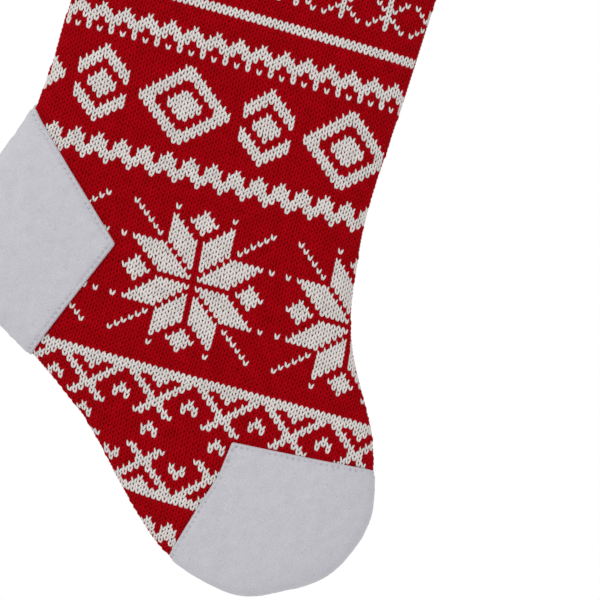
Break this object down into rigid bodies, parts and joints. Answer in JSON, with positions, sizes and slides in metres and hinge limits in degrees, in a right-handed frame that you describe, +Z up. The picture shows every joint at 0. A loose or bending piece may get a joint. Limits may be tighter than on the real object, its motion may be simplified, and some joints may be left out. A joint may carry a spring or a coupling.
{
  "type": "hanging stocking",
  "caption": "Knitted holiday stocking with a fleece cuff, heel and toe, lined and open at the mouth, that swings on a knitted tape loop.",
  "frame": {"origin": "the inner top of the hanging loop, where a hook carries it", "axes": "+Z up, +X to the toe side, +Y to the wall; the leg leans 17 degrees, its mouth towards +X, as it hangs"},
  "size_m": [0.306, 0.049, 0.5967],
  "materials": {
    "red_yarn": "matte stockinette knit of red acrylic yarn, with an ivory two-colour pattern on its face",
    "ivory_yarn": "matte ivory acrylic yarn",
    "fleece": "short soft nap, cool white",
    "lining": "plain woven lining",
    "white_thread": "spun polyester sewing thread",
    "red_thread": "spun polyester sewing thread"
  },
  "bodies": {
    "loop": {"hanging_loop": "ivory_yarn"},
    "stocking": {"loop_sewn_tab": "ivory_yarn", "loop_bar_tack": "white_thread", "side_seam": "red_thread", "front_knit_panel": "red_yarn", "back_knit_panel": "red_yarn", "front_lining": "lining", "back_lining": "lining", "front_heel_patch": "fleece", "back_heel_patch": "fleece", "front_toe_patch": "fleece", "back_toe_patch": "fleece", "front_heel_topstitch": "white_thread", "back_heel_topstitch": "white_thread", "front_toe_topstitch": "white_thread", "back_toe_topstitch": "white_thread", "front_cuff": "fleece", "back_cuff": "fleece", "front_cuff_hem_stitch": "white_thread", "back_cuff_hem_stitch": "white_thread"}
  },
  "joints": [
    {"name": "loop_swing", "type": "hinge", "parent": "loop", "child": "stocking", "pos_m": [0, 0, -0.06], "axis": [0, 1, 0], "range_deg": [-60, 60]}
  ]
}
